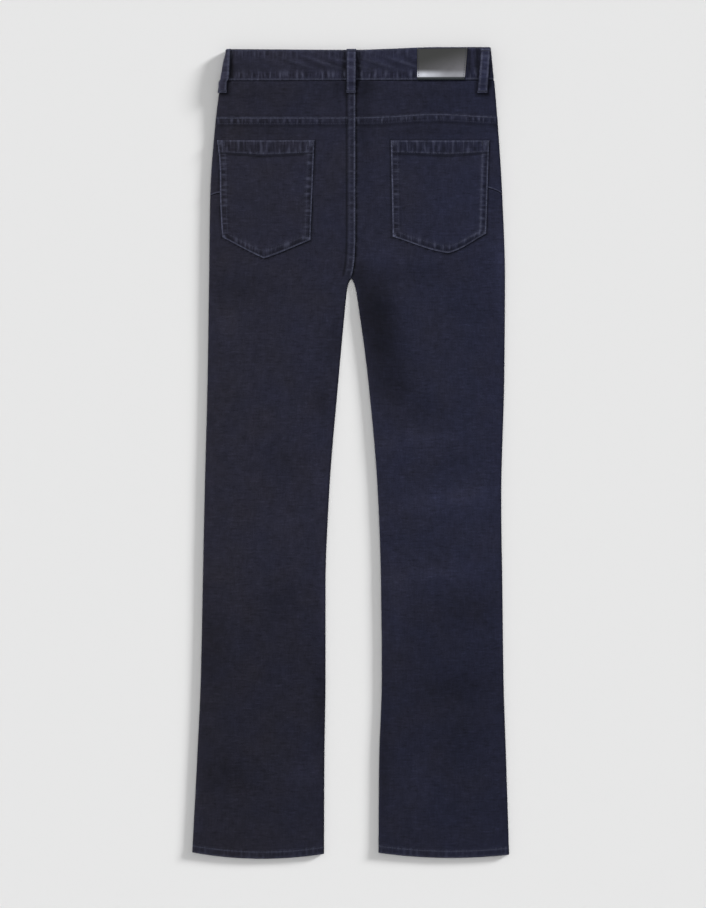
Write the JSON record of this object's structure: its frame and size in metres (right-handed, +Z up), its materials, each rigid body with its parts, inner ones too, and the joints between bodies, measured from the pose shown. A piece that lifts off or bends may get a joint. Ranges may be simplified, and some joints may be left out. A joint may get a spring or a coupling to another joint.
{
  "type": "flared jeans",
  "caption": "High-waisted flared denim jeans laid flat with the back up: patch pockets, yoke, waistband with belt loops and a leather patch, closed button fly front underneath.",
  "frame": {"origin": "middle of the box of the laid garment, on the surface it lies on", "axes": "+Y towards the waist, +X towards the wearer's right, +Z up, out of the back of the jeans"},
  "size_m": [0.423, 1.0824, 0.0171],
  "materials": {
    "denim": "dark navy stretch denim, matte",
    "pocket_denim": "dark navy stretch denim, slightly worn at the edges",
    "waist_denim": "dark navy stretch denim, slightly worn at the edges",
    "patch_leather": "glossy dark grey, bare",
    "zip_tape": "woven polyester tape",
    "dark_metal": "gunmetal plated"
  },
  "bodies": {
    "root": {"back_panel_left": "denim", "back_panel_right": "denim", "back_yoke_left": "denim", "back_yoke_right": "denim", "back_pocket_left": "pocket_denim", "back_pocket_right": "pocket_denim", "front_panel_left": "denim", "front_panel_right": "denim", "waistband": "waist_denim", "leather_patch": "patch_leather", "belt_loop_centre": "waist_denim", "belt_loop_left": "waist_denim", "belt_loop_right": "waist_denim", "belt_loop_front_left": "waist_denim", "belt_loop_front_right": "waist_denim", "zip_tape": "zip_tape", "zip_slider": "dark_metal", "waist_button": "dark_metal"}
  },
  "joints": []
}
